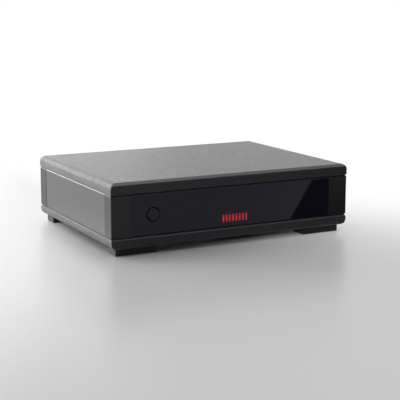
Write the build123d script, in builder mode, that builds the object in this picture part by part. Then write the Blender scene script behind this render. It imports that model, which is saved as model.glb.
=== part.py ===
from build123d import *

import os

# Phono preamp in a low desktop case.
# The case is a base tray and a lid. Between them stand two side panels, a front moulding with a
# gloss window, and a rear moulding with the sockets. Four pillars of the lid take the case screws
# from below. Inside are a main board, and a small front board that carries the power switch and
# the lamps of the lit bars in the window.
# Millimetres. +X is to the right seen from the front, +Y is to the back and +Z is up. The origin
# is on the surface that the feet stand on, in the middle of the whole outline.

os.makedirs("parts", exist_ok=True)

# ---- Case ----
case_width = 180.0
case_depth = 134.5
foot_height = 5.3
base_height = 6.7
middle_height = 28.8
lid_height = 7.9
lid_thickness = 2.5
floor_thickness = 2.2
lid_round = 4.2  # long upper edges of the lid
lid_chamfer = 1.8  # front and back upper edges of the lid
base_round = 4.0  # long lower edges of the base
base_chamfer = 0.8  # front and back lower edges of the base
upper_lip = 0.4  # chamfer round the lower rim of the lid
lower_lip = 0.8  # chamfer under a groove, round the upper rim of the piece below it
rib_thickness = 1.6  # rib inside the panels, on the base and on the lid
rib_height = 2.0
seat_gap = 0.15  # between a panel and the rib behind it
seam_gap = 0.3  # between a side panel and the moulding next to it

# ---- Middle band: side panels, front moulding, rear moulding ----
side_thickness = 3.0
seam_chamfer = 0.3
fascia_wrap = 9.6  # how far the front moulding runs back along each side
rear_wrap = 12.5
cheek_width = 14.6
window_thickness = 2.0
window_gap = 0.1
window_edge = 0.25
fascia_wall = 2.2  # wall behind the window
rear_thickness = 2.5
shadow_gap = 0.9  # step at the top and bottom of both mouldings
shadow_depth = 1.2  # depth of that step on the front and at the back
side_shadow_depth = 0.4
corner_round = 0.6

# ---- Feet ----
foot_width = 29.2
foot_depth = 12.8
foot_from_side = 4.3
foot_from_front = 3.8
foot_from_back = 1.0
foot_edge = 0.8
foot_sole_edge = 0.4
peg_radius = 2.0
peg_height = 1.2
peg_pitch = 16.0

# ---- Power button, push switch and return spring ----
button_from_side = 29.7
button_radius = 4.25
button_proud = 1.0
button_edge = 0.5
button_ring = 0.65  # open ring round the button in the window
button_travel = 3.0
guide_gap = 0.3
guide_wall = 1.5
guide_length = 4.0
collar_step = 1.0
collar_length = 1.2
stop_gap = 0.3
switch_width = 9.0
switch_depth = 8.8
switch_front_wall = 1.6
switch_back_wall = 0.8
chamber_radius = 2.4
plunger_width = 3.0
plunger_gap = 0.15
plunger_head_length = 1.0
spring_radius = 1.6
spring_wire = 0.2
spring_turns = 4
spring_end_gap = 0.1

# ---- Lit bars, lamps and front board ----
bar_count = 8
bar_width = 1.3
bar_height = 5.0
bar_pitch = 2.5
bar_gap = 0.1
bar_recess = 0.05
mark_above_groove = 6.6  # height of the middle of the bars
guide_block_height = 8.0
guide_block_margin = 1.5
lamp_count = 4
lamp_radius = 1.5
lamp_length = 5.0
lamp_gap = 0.3
front_board_margin = 5.0
post_wall = 1.5
post_gap = 1.0

# ---- Boards, pillars and screws ----
board_thickness = 1.6
board_side_gap = 1.5
board_back_gap = 0.7
board_split = 3.0  # between the front board and the main board
board_screw_inset = 5.0
board_hole_gap = 0.2
link_width = 25.0
link_height = 2.5
link_seat = 6.0
pillar_wall = 2.0
pillar_rib_gap = 0.5
pillar_hole_spare = 2.0
foot_to_pillar = 2.5
standoff_wall = 1.6
screw_radius = 1.5
screw_gap = 0.05
screw_hole_gap = 0.2
screw_reach = 6.0
pan_step = 1.3
pan_height = 2.0
pan_edge = 0.4
sunk_step = 1.35
sunk_gap = 0.15
sunk_angle = 90
sunk_depth = 0.1
case_screw_reach = 10.0
cross_length = 3.2
cross_width = 0.7
cross_depth = 0.9

# ---- Phono sockets ----
socket_pitch = 18.0
socket_height = 9.5  # axis above the main board
shell_radius = 4.15
shell_wall = 0.6
shell_reach = 9.5
shell_edge = 0.3
shell_seat = 4.0
flange_width = 1.6
flange_thickness = 1.2
panel_hole_gap = 0.3
slip = 0.05  # radial gap of a seated round piece
insulator_recess = 0.6
contact_bore = 1.6
contact_wall = 0.6
contact_recess = 0.9
contact_seat = 6.0
contact_end_wall = 1.2
socket_block_margin = 3.85  # round the shells, at the sides and above
socket_back_wall = 2.0

# ---- Power inlet ----
inlet_bore = 3.2
inlet_bore_depth = 10.0
inlet_nose_wall = 1.2
inlet_block_margin = 0.4
inlet_block_foot = 1.8
inlet_back_wall = 6.5
inlet_pin_radius = 1.05
inlet_pin_recess = 0.8
inlet_pin_edge = 0.4

# ---- Ground terminal ----
stud_radius = 2.0
stud_tail = 2.0
stud_tip = 1.0
stud_edge = 0.4
ground_collar_step = 1.8
ground_collar_length = 2.0
ground_nut_wall = 1.9
ground_nut_length = 3.2
washer_width = 2.6
washer_thickness = 0.8
thumb_wall = 3.0
thumb_length = 7.0
thumb_edge = 0.5
flute_count = 24
flute_radius = 0.35
ground_stack_gap = 0.1
ground_travel = 3.5

# ---- Loading switches ----
bank_width = 11.7
bank_height = 7.0
bank_depth = 9.0
bank_recess = 0.5
slider_count = 4
slider_pitch = 2.54
slider_width = 1.1
slider_height = 1.5
slider_length = 2.2
slider_proud = 0.3
slider_gap = 0.1
slider_travel = 1.6

# ---- The row along the rear edge of the main board ----
rear_row_margin = 1.4  # between the row and the board screw at each end

# ---- Parts of the main board; each place is a share of its width and of its depth from the back ----
reservoir_radius = 8.0
reservoir_height = 25.0
reservoir_edge = 1.0
reservoir_groove = 0.6
reservoir_groove_height = 1.8
reservoir_at = ((0.88, 0.36), (0.88, 0.58))
film_size = (13.0, 5.0, 11.0)
film_edge = 0.4
film_gap = (5.0, 6.0)
film_counts = (2, 3)
film_at = (0.3, 0.45)
resistor_radius = 1.2
resistor_length = 6.5
resistor_lift = 0.4
resistor_gap = (5.0, 2.6)
resistor_counts = (3, 5)
resistor_at = (0.3, 0.78)
lead_width = 0.6
lead_span = 10.0
chip_size = (6.4, 9.6, 3.4)
chip_lift = 0.6
chip_leg_pitch = 2.54
chip_leg_reach = 0.9
chip_side_legs = 4
chips_at = ((0.52, 0.3), (0.52, 0.5), (0.52, 0.7))
transistor_radius = 2.3
transistor_height = 4.8
transistor_lift = 3.0
transistor_flat = 1.3
transistor_leg_pitch = 1.27
transistor_legs = 3
transistor_gap = 3.4
transistor_counts = (2, 4)
transistors_at = (0.1, 0.42)
sink_width = 18.0
sink_plate = 1.6
sink_fin = 1.0
sink_fin_length = 8.0
sink_fin_count = 6
sink_height = 18.0
sinks_at = ((0.72, 0.34), (0.72, 0.62))
regulator_width = 10.0
regulator_tab = 1.3
regulator_body = 4.4
regulator_lift = 3.0
regulator_tab_height = 13.0
regulator_body_height = 9.0
regulator_legs = 3

# ---- Sizes, levels and places that follow from the sizes above ----
pillar_radius = screw_radius + pillar_wall
post_radius = screw_radius + post_wall
standoff_radius = screw_radius + standoff_wall
pan_radius = screw_radius + pan_step
sunk_radius = screw_radius + sunk_step
flange_radius = shell_radius + flange_width
shell_bore = shell_radius - shell_wall
contact_radius = contact_bore + contact_wall
socket_block_width = socket_pitch + 2 * shell_radius + 2 * socket_block_margin
socket_block_height = socket_height + shell_radius + socket_block_margin
socket_block_depth = shell_seat + contact_seat + socket_back_wall
inlet_nose_radius = inlet_bore + inlet_nose_wall
inlet_block_width = 2 * (inlet_nose_radius + inlet_block_margin)
inlet_height = inlet_nose_radius + inlet_block_foot
inlet_block_height = inlet_height + inlet_nose_radius + inlet_block_margin
inlet_block_depth = inlet_bore_depth - rear_thickness + inlet_back_wall
washer_radius = stud_radius + washer_width
thumb_radius = stud_radius + thumb_wall
ground_stack = ground_collar_length + washer_thickness + thumb_length + 2 * ground_stack_gap
post_reach = ground_stack + ground_travel + stud_tip

base_z = foot_height
floor_z = base_z + floor_thickness
middle_z = base_z + base_height
lid_z = middle_z + middle_height
top_z = lid_z + lid_height
ceiling_z = top_z - lid_thickness
axis_z = middle_z + middle_height / 2
mark_z = middle_z + mark_above_groove
board_top = middle_z + rib_height + seat_gap
board_z = board_top - board_thickness
socket_z = board_top + socket_height
inlet_z = board_top + inlet_height

front_y = button_proud - (button_proud + case_depth + post_reach) / 2
back_y = front_y + case_depth
middle_y = front_y + case_depth / 2
fascia_depth = window_thickness + fascia_wall
fascia_y = front_y + fascia_depth
panel_y = back_y - rear_thickness

rib_half = case_width / 2 - side_thickness - seat_gap
rib_front = fascia_y + seat_gap
rib_back = panel_y - seat_gap
room_half = rib_half - rib_thickness
room_front = rib_front + rib_thickness
room_back = rib_back - rib_thickness

window_width = case_width - 2 * cheek_width
visible_height = middle_height - 2 * shadow_gap
button_x = button_from_side - case_width / 2

guide_y = fascia_y + guide_length
collar_y = guide_y + stop_gap
plunger_y = collar_y + collar_length
switch_y = plunger_y + button_travel + stop_gap
front_board_y = switch_y + switch_depth
chamber_y = switch_y + switch_front_wall
chamber_end_y = front_board_y - switch_back_wall

pillar_x = room_half - pillar_rib_gap - pillar_radius
pillar_from_foot = foot_depth + foot_to_pillar + pillar_radius
pillar_front = front_y + foot_from_front + pillar_from_foot
pillar_back = back_y - foot_from_back - pillar_from_foot
pillar_places = [(x, y) for x in (-pillar_x, pillar_x) for y in (pillar_front, pillar_back)]

board_half = pillar_x - pillar_radius - board_side_gap
board_front = front_board_y + board_thickness + board_split
board_back = room_back - board_back_gap
screw_x = board_half - board_screw_inset
board_screw_places = [
    (x, y)
    for x in (-screw_x, screw_x)
    for y in (board_front + board_screw_inset, board_back - board_screw_inset)
]

post_left = button_x - button_radius - guide_gap - guide_wall - post_gap - post_radius
post_right = (bar_count * bar_pitch) / 2 + guide_block_margin + post_gap + post_radius
post_places = [(post_left, axis_z), (post_right, axis_z)]

foot_x = case_width / 2 - foot_from_side - foot_width / 2
foot_front = front_y + foot_from_front + foot_depth / 2
foot_back = back_y - foot_from_back - foot_depth / 2
feet = {
    "front_left": (-foot_x, foot_front),
    "front_right": (foot_x, foot_front),
    "rear_left": (-foot_x, foot_back),
    "rear_right": (foot_x, foot_back),
}

rear_row = {
    "input": socket_block_width,
    "ground": 2 * thumb_radius,
    "left": bank_width,
    "right": bank_width,
    "output": socket_block_width,
    "inlet": inlet_block_width,
}
row_half = screw_x - pan_radius - rear_row_margin
row_gap = (2 * row_half - sum(rear_row.values())) / (len(rear_row) - 1)
row_x = {}
row_edge = -row_half
for item, item_width in rear_row.items():
    row_x[item] = row_edge + item_width / 2
    row_edge += item_width + row_gap
ground_x = row_x["ground"]
inlet_x = row_x["inlet"]
banks = {place: row_x[place] for place in ("left", "right")}
socket_pairs = {pair: row_x[pair] for pair in ("input", "output")}
sockets = {
    f"{pair}_{channel}": pair_x + side * socket_pitch / 2
    for pair, pair_x in socket_pairs.items()
    for channel, side in (("left", -1), ("right", 1))
}

slot_height = slider_height + slider_travel + 2 * slider_gap
slot_z = board_top + (bank_height - slot_height) / 2
slot_face_y = back_y - bank_recess

BOTTOM = (Align.CENTER, Align.CENTER, Align.MIN)
TOP = (Align.CENTER, Align.CENTER, Align.MAX)
ALONG_X = (0, 90, 0)
ALONG_Y = (90, 0, 0)
FACING_BACK = (-90, 0, 0)
FACING_DOWN = (180, 0, 0)
hex_side_count = 6


def across(y):
    """Plane across the case at y: its x is +X, its y is +Z, and a positive extrude goes forward."""
    return Plane.XZ.offset(-y)


def on_board(share):
    """Point on top of the main board: shares of its width from the left and of its depth from the back."""
    x = (2 * share[0] - 1) * board_half
    y = board_back - share[1] * (board_back - board_front)
    return (x, y, board_top)


def block(x, y, z, mode=Mode.ADD):
    """Block between two faces along each axis, each given as (low, high)."""
    with Locations(((x[0] + x[1]) / 2, (y[0] + y[1]) / 2, (z[0] + z[1]) / 2)):
        Box(x[1] - x[0], y[1] - y[0], z[1] - z[0], mode=mode)


def bar(x, z, y, radius, mode=Mode.ADD):
    """Round bar along Y through x and z, between the two ends in y."""
    with Locations(Location((x, (y[0] + y[1]) / 2, z), ALONG_Y)):
        Cylinder(radius, y[1] - y[0], mode=mode)


def plan(low_y, high_y, half_width, mode=Mode.ADD):
    """Rectangle in plan, centred in X."""
    with Locations((0, (low_y + high_y) / 2)):
        Rectangle(2 * half_width, high_y - low_y, mode=mode)


def locating_rib(z):
    """Rib that stands inside the panels, from z up by its height."""
    with BuildSketch(Plane.XY.offset(z)) as rib:
        plan(rib_front, rib_back, rib_half)
        plan(room_front, room_back, room_half, mode=Mode.SUBTRACT)
    extrude(rib.sketch, amount=rib_height)


def shadow_step(z, low_y, high_y, wall_front, wall_back):
    """Cut a step into the outer skin of a moulding, from z up by the shadow gap."""
    with BuildSketch(Plane.XY.offset(z)) as step:
        plan(low_y, high_y, case_width / 2)
        inner_half = case_width / 2 - side_shadow_depth
        plan(low_y + wall_front, high_y - wall_back, inner_half, mode=Mode.SUBTRACT)
    extrude(step.sketch, amount=shadow_gap, mode=Mode.SUBTRACT)


def cross_recess():
    """Cross recess that is cut down from the place where it is put."""
    Box(cross_length, cross_width, cross_depth, align=TOP, mode=Mode.SUBTRACT)
    Box(cross_width, cross_length, cross_depth, align=TOP, mode=Mode.SUBTRACT)


def pan_screw():
    """Pan-head screw, with the underside of its head at the place where it is put."""
    Cylinder(screw_radius, screw_reach, align=TOP)
    Cylinder(pan_radius, pan_height - pan_edge, align=BOTTOM)
    with Locations((0, 0, pan_height)):
        Cone(pan_radius, pan_radius - pan_edge, pan_edge, align=TOP)
        cross_recess()


# ---- Top cover: one shallow tray, upside down, with four screw pillars ----
with BuildPart() as top_cover:
    with BuildSketch(across(back_y)) as lid_section:
        with Locations((0, lid_z)):
            Rectangle(case_width, lid_height, align=(Align.CENTER, Align.MIN))
        fillet(lid_section.vertices().group_by(Axis.Y)[-1], lid_round)
    extrude(amount=case_depth)
    with BuildSketch(Plane.YZ) as lid_side:
        with Locations((middle_y, lid_z)):
            Rectangle(case_depth, lid_height, align=(Align.CENTER, Align.MIN))
        chamfer(lid_side.vertices().group_by(Axis.Y)[-1], lid_chamfer)
    extrude(amount=case_width / 2, both=True, mode=Mode.INTERSECT)
    chamfer(top_cover.faces().sort_by(Axis.Z)[0].edges(), upper_lip)
    with BuildSketch(Plane.XY.offset(lid_z)):
        plan(room_front, room_back, room_half)
    extrude(amount=ceiling_z - lid_z, mode=Mode.SUBTRACT)
    locating_rib(lid_z - rib_height)
    with BuildSketch(Plane.XY.offset(floor_z)):
        with Locations(*pillar_places):
            Circle(pillar_radius)
    extrude(amount=ceiling_z - floor_z)
    with BuildSketch(Plane.XY.offset(floor_z)):
        with Locations(*pillar_places):
            Circle(screw_radius + screw_gap)
    extrude(amount=case_screw_reach + pillar_hole_spare, mode=Mode.SUBTRACT)
top_cover.part.label = "top_cover"
export_step(top_cover.part, "parts/top_cover.step")

# ---- Base tray: floor and low walls, with sunk holes for the case screws and sockets for feet ----
with BuildPart() as base_tray:
    with BuildSketch(across(back_y)) as base_section:
        with Locations((0, base_z)):
            Rectangle(case_width, base_height, align=(Align.CENTER, Align.MIN))
        fillet(base_section.vertices().group_by(Axis.Y)[0], base_round)
    extrude(amount=case_depth)
    with BuildSketch(Plane.YZ) as base_side:
        with Locations((middle_y, base_z)):
            Rectangle(case_depth, base_height, align=(Align.CENTER, Align.MIN))
        chamfer(base_side.vertices().group_by(Axis.Y)[0], base_chamfer)
    extrude(amount=case_width / 2, both=True, mode=Mode.INTERSECT)
    chamfer(base_tray.faces().sort_by(Axis.Z)[-1].edges(), lower_lip)
    with BuildSketch(Plane.XY.offset(floor_z)):
        plan(room_front, room_back, room_half)
    extrude(amount=base_height, mode=Mode.SUBTRACT)
    locating_rib(middle_z)
    with BuildSketch(Plane.XY.offset(base_z)):
        for foot_centre in feet.values():
            with Locations(foot_centre):
                with GridLocations(peg_pitch, peg_pitch, 2, 1):
                    Circle(peg_radius + slip)
    extrude(amount=peg_height + slip, mode=Mode.SUBTRACT)
    with Locations(*[Location((x, y, base_z), FACING_DOWN) for x, y in pillar_places]):
        hole_radius = screw_radius + screw_hole_gap
        CounterSinkHole(hole_radius, sunk_radius + sunk_gap, floor_thickness, sunk_angle)
base_tray.part.label = "base_tray"
export_step(base_tray.part, "parts/base_tray.step")

# ---- Case screws: sunk heads flush under the base, one into each pillar of the lid ----
with BuildPart() as case_screws:
    with Locations(*[(x, y, base_z + sunk_depth) for x, y in pillar_places]):
        Cone(sunk_radius, screw_radius, sunk_radius - screw_radius, align=BOTTOM)
        Cylinder(screw_radius, case_screw_reach, align=BOTTOM)
        with Locations(Location((0, 0, 0), FACING_DOWN)):
            cross_recess()
case_screws.part.label = "case_screws"
export_step(case_screws.part, "parts/case_screws.step")

# ---- Feet: moulded blocks, each with two pegs in the base ----
for place, (x, y) in feet.items():
    with BuildPart() as foot:
        with Locations((x, y, 0)):
            Box(foot_width, foot_depth, foot_height, align=BOTTOM)
        fillet(foot.edges().filter_by(Axis.Z), foot_edge)
        chamfer(foot.faces().sort_by(Axis.Z)[0].edges(), foot_sole_edge)
        with BuildSketch(Plane.XY.offset(foot_height)):
            with Locations((x, y)):
                with GridLocations(peg_pitch, peg_pitch, 2, 1):
                    Circle(peg_radius)
        extrude(amount=peg_height)
    foot.part.label = f"foot_{place}"
    export_step(foot.part, f"parts/foot_{place}.step")

# ---- Side panels: plain sheets with chamfered edges at the two grooves ----
panel_front = front_y + fascia_wrap + seam_gap
panel_end = back_y - rear_wrap - seam_gap
for place, side in (("left", -1), ("right", 1)):
    with BuildPart() as side_panel:
        panel_x = sorted((side * case_width / 2, side * (case_width / 2 - side_thickness)))
        block(panel_x, (panel_front, panel_end), (middle_z, lid_z))
        outer_face = side_panel.faces().sort_by(Axis.X)[0 if side < 0 else -1]
        chamfer(outer_face.edges().filter_by(Axis.Y), lower_lip)
        outer_face = side_panel.faces().sort_by(Axis.X)[0 if side < 0 else -1]
        chamfer(outer_face.edges().filter_by(Axis.Z), seam_chamfer)
    side_panel.part.label = f"side_panel_{place}"
    export_step(side_panel.part, f"parts/side_panel_{place}.step")

# ---- Front moulding: cheeks that wrap round the sides, a recess for the window, and at its back
# the guide of the power button and two posts for the front board ----
with BuildPart() as front_fascia:
    with BuildSketch(Plane.XY.offset(middle_z)):
        plan(front_y, front_y + fascia_wrap, case_width / 2)
        plan(fascia_y, front_y + fascia_wrap, case_width / 2 - side_thickness, Mode.SUBTRACT)
    extrude(amount=middle_height)
    fillet(front_fascia.edges().filter_by(Axis.Z).group_by(Axis.Y)[0], corner_round)
    for step_z in (middle_z, lid_z - shadow_gap):
        shadow_step(step_z, front_y, front_y + fascia_wrap, shadow_depth, 0)
    with BuildSketch(across(front_y)):
        with Locations((0, axis_z)):
            Rectangle(window_width + 2 * window_gap, middle_height)
    extrude(amount=-window_thickness, mode=Mode.SUBTRACT)
    bar(button_x, axis_z, (fascia_y, guide_y), button_radius + guide_gap + guide_wall)
    bar(button_x, axis_z, (front_y, guide_y), button_radius + guide_gap, Mode.SUBTRACT)
    for x, z in post_places:
        bar(x, z, (fascia_y, front_board_y), post_radius)
        bar(x, z, (front_board_y - screw_reach, front_board_y), screw_radius + screw_gap, Mode.SUBTRACT)
    with BuildSketch(across(front_y)):
        with Locations((0, mark_z)):
            with GridLocations(bar_pitch, bar_pitch, bar_count, 1):
                Rectangle(bar_width + 2 * bar_gap, bar_height + 2 * bar_gap)
    extrude(amount=-fascia_depth, mode=Mode.SUBTRACT)
front_fascia.part.label = "front_fascia"
export_step(front_fascia.part, "parts/front_fascia.step")

# ---- Window: gloss sheet flush with the cheeks, with the button's hole and slots for the bars ----
with BuildPart() as fascia_window:
    with BuildSketch(across(front_y)):
        with Locations((0, axis_z)):
            Rectangle(window_width, visible_height)
        with Locations((button_x, axis_z)):
            Circle(button_radius + button_ring, mode=Mode.SUBTRACT)
        with Locations((0, mark_z)):
            with GridLocations(bar_pitch, bar_pitch, bar_count, 1):
                Rectangle(bar_width + 2 * bar_gap, bar_height + 2 * bar_gap, mode=Mode.SUBTRACT)
    extrude(amount=-window_thickness)
    window_rim = fascia_window.faces().sort_by(Axis.Y)[0].outer_wire().edges()
    chamfer(window_rim, window_edge)
fascia_window.part.label = "fascia_window"
export_step(fascia_window.part, "parts/fascia_window.step")

# ---- Light guide: a clear block behind the front moulding, its teeth end in the window's slots ----
with BuildPart() as light_guide:
    block_half = bar_count * bar_pitch / 2 + guide_block_margin
    block_z = (mark_z - guide_block_height / 2, mark_z + guide_block_height / 2)
    block((-block_half, block_half), (fascia_y, front_board_y - lamp_length - lamp_gap), block_z)
    with BuildSketch(across(fascia_y)):
        with Locations((0, mark_z)):
            with GridLocations(bar_pitch, bar_pitch, bar_count, 1):
                Rectangle(bar_width, bar_height)
    extrude(amount=fascia_depth - bar_recess)
light_guide.part.label = "light_guide"
export_step(light_guide.part, "parts/light_guide.step")

# ---- Lamps on the front board, behind the light guide ----
with BuildPart() as indicator_lamps:
    lamp_pitch = bar_count * bar_pitch / lamp_count
    with BuildSketch(across(front_board_y)):
        with Locations((0, mark_z)):
            with GridLocations(lamp_pitch, lamp_pitch, lamp_count, 1):
                Circle(lamp_radius)
    extrude(amount=lamp_length)
    fillet(indicator_lamps.edges().group_by(Axis.Y)[0], lamp_radius / 2)
indicator_lamps.part.label = "indicator_lamps"
export_step(indicator_lamps.part, "parts/indicator_lamps.step")

# ---- Power button: round cap with a collar that the spring holds behind the guide ----
with BuildPart() as power_button:
    bar(button_x, axis_z, (front_y - button_proud, plunger_y), button_radius)
    bar(button_x, axis_z, (collar_y, plunger_y), button_radius + collar_step)
    fillet(power_button.edges().group_by(Axis.Y)[0], button_edge)
power_button.part.label = "power_button"
export_step(power_button.part, "parts/power_button.step")

# ---- Plunger: square rod from the button into the switch, with a round head in its chamber ----
head_y = chamber_y + stop_gap
with BuildPart() as switch_plunger:
    half = plunger_width / 2
    block((button_x - half, button_x + half), (plunger_y, head_y), (axis_z - half, axis_z + half))
    bar(button_x, axis_z, (head_y, head_y + plunger_head_length), chamber_radius - guide_gap)
switch_plunger.part.label = "switch_plunger"
export_step(switch_plunger.part, "parts/switch_plunger.step")

# ---- Switch housing on the front board, hollow for the plunger's head and the spring ----
with BuildPart() as switch_housing:
    half = switch_width / 2
    block((button_x - half, button_x + half), (switch_y, front_board_y), (axis_z - half, axis_z + half))
    half = plunger_width / 2 + plunger_gap
    slot = (axis_z - half, axis_z + half)
    block((button_x - half, button_x + half), (switch_y, chamber_y), slot, Mode.SUBTRACT)
    bar(button_x, axis_z, (chamber_y, chamber_end_y), chamber_radius, Mode.SUBTRACT)
switch_housing.part.label = "switch_housing"
export_step(switch_housing.part, "parts/switch_housing.step")

# ---- Return spring: coil between the plunger's head and the back of the chamber ----
spring_y = head_y + plunger_head_length + spring_end_gap + spring_wire
spring_length = chamber_end_y - spring_end_gap - spring_wire - spring_y
with BuildPart() as switch_spring:
    with BuildLine() as coil:
        Helix(
            pitch=spring_length / spring_turns,
            height=spring_length,
            radius=spring_radius,
            center=(button_x, spring_y, axis_z),
            direction=(0, 1, 0),
        )
    with BuildSketch(Plane(origin=coil.line @ 0, z_dir=coil.line % 0)):
        Circle(spring_wire)
    sweep()
switch_spring.part.label = "switch_spring"
export_step(switch_spring.part, "parts/switch_spring.step")

# ---- Front board: stands on two posts of the front moulding, with the switch and the lamps ----
with BuildPart() as front_board:
    front_board_x = (post_left - post_radius, post_right + front_board_margin)
    front_board_z = (board_top + board_hole_gap, axis_z + switch_width / 2 + front_board_margin)
    front_board_back = front_board_y + board_thickness
    block(front_board_x, (front_board_y, front_board_back), front_board_z)
    for x, z in post_places:
        hole_radius = screw_radius + screw_hole_gap
        bar(x, z, (front_board_y, front_board_back), hole_radius, Mode.SUBTRACT)
front_board.part.label = "front_board"
export_step(front_board.part, "parts/front_board.step")

# ---- Main board, on four hexagonal pillars ----
with BuildPart() as main_board:
    with BuildSketch(Plane.XY.offset(board_z)):
        plan(board_front, board_back, board_half)
        with Locations(*board_screw_places):
            Circle(screw_radius + screw_hole_gap, mode=Mode.SUBTRACT)
    extrude(amount=board_thickness)
main_board.part.label = "main_board"
export_step(main_board.part, "parts/main_board.step")

with BuildPart() as board_pillars:
    with BuildSketch(Plane.XY.offset(floor_z)):
        with Locations(*board_screw_places):
            RegularPolygon(standoff_radius, hex_side_count)
            Circle(screw_radius + screw_gap, mode=Mode.SUBTRACT)
    extrude(amount=board_z - floor_z)
board_pillars.part.label = "board_pillars"
export_step(board_pillars.part, "parts/board_pillars.step")

# ---- Board link: pin header that joins the two boards ----
with BuildPart() as board_link:
    link_x = (button_x + button_radius + post_gap, button_x + button_radius + post_gap + link_width)
    block(link_x, (front_board_back, board_front + link_seat), (board_top, board_top + link_height))
board_link.part.label = "board_link"
export_step(board_link.part, "parts/board_link.step")

# ---- Rear moulding: panel with short legs along the sides, pierced for what it carries ----
with BuildPart() as rear_panel:
    with BuildSketch(Plane.XY.offset(middle_z)):
        plan(back_y - rear_wrap, back_y, case_width / 2)
        plan(back_y - rear_wrap, panel_y, case_width / 2 - side_thickness, Mode.SUBTRACT)
    extrude(amount=middle_height)
    fillet(rear_panel.edges().filter_by(Axis.Z).group_by(Axis.Y)[-1], corner_round)
    for step_z in (middle_z, lid_z - shadow_gap):
        shadow_step(step_z, back_y - rear_wrap, back_y, 0, shadow_depth)
    with BuildSketch(across(back_y)):
        with Locations(*[(x, socket_z) for x in sockets.values()]):
            Circle(shell_radius + panel_hole_gap)
        with Locations(*[(x, socket_z) for x in socket_pairs.values()]):
            Circle(screw_radius + screw_hole_gap)
        with Locations((ground_x, socket_z)):
            Circle(stud_radius + screw_hole_gap)
        with Locations((inlet_x, inlet_z)):
            Circle(inlet_nose_radius + panel_hole_gap)
        with Locations(*[(x, board_top + bank_height / 2) for x in banks.values()]):
            Rectangle(bank_width + 2 * panel_hole_gap, bank_height + 2 * panel_hole_gap)
    extrude(amount=rear_thickness, mode=Mode.SUBTRACT)
rear_panel.part.label = "rear_panel"
export_step(rear_panel.part, "parts/rear_panel.step")

# ---- Phono sockets: two blocks on the main board, each with two shells, insulators and contacts ----
block_y = (panel_y - socket_block_depth, panel_y)
for pair, pair_x in socket_pairs.items():
    with BuildPart() as socket_block:
        block_x = (pair_x - socket_block_width / 2, pair_x + socket_block_width / 2)
        block(block_x, block_y, (board_top, board_top + socket_block_height))
        for x in (pair_x - socket_pitch / 2, pair_x + socket_pitch / 2):
            bar(x, socket_z, (panel_y - shell_seat, panel_y), shell_radius + slip, Mode.SUBTRACT)
            contact_hole = (panel_y - shell_seat - contact_seat, panel_y)
            bar(x, socket_z, contact_hole, contact_radius + slip, Mode.SUBTRACT)
        screw_hole = (back_y - screw_reach - slip, panel_y)
        bar(pair_x, socket_z, screw_hole, screw_radius + screw_gap, Mode.SUBTRACT)
    socket_block.part.label = f"socket_block_{pair}"
    export_step(socket_block.part, f"parts/socket_block_{pair}.step")

for socket, x in sockets.items():
    shell_y = (panel_y - shell_seat, back_y + shell_reach)
    with BuildPart() as socket_shell:
        bar(x, socket_z, shell_y, shell_radius)
        chamfer(socket_shell.edges().group_by(Axis.Y)[-1], shell_edge)
        bar(x, socket_z, (back_y, back_y + flange_thickness), flange_radius)
        bar(x, socket_z, shell_y, shell_bore, Mode.SUBTRACT)
    socket_shell.part.label = f"socket_shell_{socket}"
    export_step(socket_shell.part, f"parts/socket_shell_{socket}.step")

    insulator_y = (panel_y - shell_seat, back_y + shell_reach - insulator_recess)
    with BuildPart() as socket_insulator:
        bar(x, socket_z, insulator_y, shell_bore - slip)
        bar(x, socket_z, insulator_y, contact_radius + slip, Mode.SUBTRACT)
    socket_insulator.part.label = f"socket_insulator_{socket}"
    export_step(socket_insulator.part, f"parts/socket_insulator_{socket}.step")

    contact_end = panel_y - shell_seat - contact_seat
    contact_y = (contact_end, back_y + shell_reach - contact_recess)
    with BuildPart() as socket_contact:
        bar(x, socket_z, contact_y, contact_radius)
        contact_bore_y = (contact_end + contact_end_wall, contact_y[1])
        bar(x, socket_z, contact_bore_y, contact_bore, Mode.SUBTRACT)
    socket_contact.part.label = f"socket_contact_{socket}"
    export_step(socket_contact.part, f"parts/socket_contact_{socket}.step")

# ---- Pan screws, all alike: four down into the board's pillars, two forward into the posts of the
# front moulding, and one through the rear panel into the middle of each socket block ----
with BuildPart() as pan_screws:
    with Locations(*[(x, y, board_top) for x, y in board_screw_places]):
        pan_screw()
    with Locations(*[Location((x, front_board_back, z), FACING_BACK) for x, z in post_places]):
        pan_screw()
    with Locations(*[Location((x, back_y, socket_z), FACING_BACK) for x in socket_pairs.values()]):
        pan_screw()
pan_screws.part.label = "pan_screws"
export_step(pan_screws.part, "parts/pan_screws.step")

# ---- Power inlet: block with a round nose in the panel, and its centre pin ----
bore_end_y = back_y - inlet_bore_depth
with BuildPart() as power_inlet:
    inlet_sides = (inlet_x - inlet_block_width / 2, inlet_x + inlet_block_width / 2)
    inlet_y = (panel_y - inlet_block_depth, panel_y)
    block(inlet_sides, inlet_y, (board_top, board_top + inlet_block_height))
    bar(inlet_x, inlet_z, (panel_y, back_y), inlet_nose_radius)
    bar(inlet_x, inlet_z, (bore_end_y, back_y), inlet_bore, Mode.SUBTRACT)
power_inlet.part.label = "power_inlet"
export_step(power_inlet.part, "parts/power_inlet.step")

with BuildPart() as power_inlet_pin:
    bar(inlet_x, inlet_z, (bore_end_y, back_y - inlet_pin_recess), inlet_pin_radius)
    chamfer(power_inlet_pin.edges().group_by(Axis.Y)[-1], inlet_pin_edge)
power_inlet_pin.part.label = "power_inlet_pin"
export_step(power_inlet_pin.part, "parts/power_inlet_pin.step")

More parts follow.
